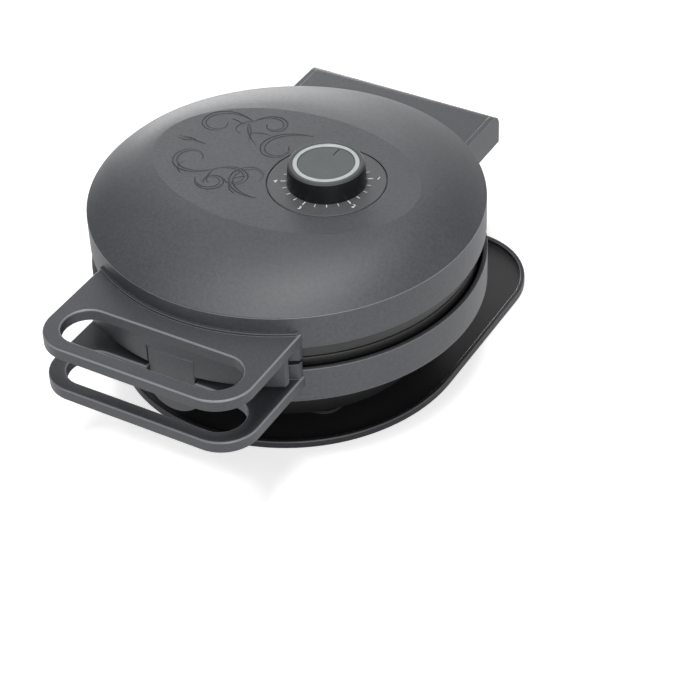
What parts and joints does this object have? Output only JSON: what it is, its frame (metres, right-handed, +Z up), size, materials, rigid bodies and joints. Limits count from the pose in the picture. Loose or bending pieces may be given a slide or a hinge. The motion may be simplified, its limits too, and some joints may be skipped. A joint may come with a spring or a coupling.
{
  "type": "electric krumkake iron",
  "caption": "Round electric krumkake iron: hinged domed lid, patterned cooking plates, loop handles with a latch clip, thermostat knob and a lift-out drip tray.",
  "frame": {"origin": "on the cooking plates' axis, on the underside of the drip tray, where the iron stands", "axes": "+Z up along the plates' axis; the handles and the latch point along -Y and the hinge lies along +Y; +X is the right-hand side seen from the handles, where the knob is"},
  "size_m": [0.2116, 0.2851, 0.1213],
  "materials": {
    "housing_plastic": "fine textured charcoal",
    "black_plastic": "black, fine textured",
    "rubber": "matt black",
    "plate_alloy": "cast aluminium with a dark non-stick coating",
    "element_steel": "heat-dulled sheath",
    "reflector_sheet": "bright rolled sheet",
    "fuse_steel": "plated",
    "screw_steel": "zinc plated",
    "spring_steel": "spring steel",
    "terminal_plastic": "heat-proof off-white moulding",
    "bridge_steel": "zinc-coated sheet",
    "dial_plastic": "fine textured charcoal",
    "bush_plastic": "natural acetal",
    "knob_plastic": "satin black",
    "knob_ring": "satin grey metal",
    "knob_cap": "satin dark grey-green"
  },
  "bodies": {
    "tray": {"drip_tray": "housing_plastic"},
    "base": {"rubber_feet": "rubber", "base_pan": "black_plastic", "lower_shell": "housing_plastic", "lower_plate": "plate_alloy", "lower_element": "element_steel", "lower_reflector": "reflector_sheet", "lower_thermal_fuse": "fuse_steel", "plate_screws": "screw_steel", "pan_screws": "screw_steel", "terminal_block": "terminal_plastic", "lower_handle": "housing_plastic", "lower_handle_screws": "screw_steel", "hinge_bracket": "housing_plastic", "bracket_screws": "screw_steel", "hinge_pin": "screw_steel", "pin_clips": "spring_steel", "cord_gland": "rubber"},
    "lid": {"lid_shell": "housing_plastic", "upper_plate": "plate_alloy", "upper_element": "element_steel", "upper_reflector": "reflector_sheet", "upper_thermal_fuse": "fuse_steel", "lid_bridge": "bridge_steel", "bridge_screws": "screw_steel", "dial_screws": "screw_steel", "dial_plate": "dial_plastic", "thermostat": "terminal_plastic", "thermostat_sensor": "fuse_steel", "upper_handle": "housing_plastic", "upper_handle_screws": "screw_steel", "latch_pin": "screw_steel", "hinge_cover": "housing_plastic", "end_caps": "housing_plastic", "hinge_bushes": "bush_plastic", "cover_screws": "screw_steel"},
    "knob": {"thermostat_spindle": "fuse_steel", "knob_body": "knob_plastic", "knob_ring": "knob_ring", "knob_cap": "knob_cap", "knob_clip": "spring_steel"},
    "latch": {"latch_clip": "housing_plastic", "latch_spring": "spring_steel"}
  },
  "joints": [
    {"name": "base_lift", "type": "slide", "parent": "tray", "child": "base", "axis": [0, 0, 1], "range_m": [0, 0.06]},
    {"name": "lid_hinge", "type": "hinge", "parent": "base", "child": "lid", "pos_m": [0, 0.121, 0.0715], "axis": [-1, 0, 0], "range_deg": [0, 100]},
    {"name": "knob_turn", "type": "hinge", "parent": "lid", "child": "knob", "pos_m": [0.0251, 0, 0.115], "axis": [0, 0, 1], "range_deg": [-300, 0]},
    {"name": "latch_pull", "type": "hinge", "parent": "lid", "child": "latch", "pos_m": [0, -0.1134, 0.0676], "axis": [-1, 0, 0], "range_deg": [0, 12], "stiffness_Nm_per_rad": 0.05, "springref_deg": -5.73}
  ]
}
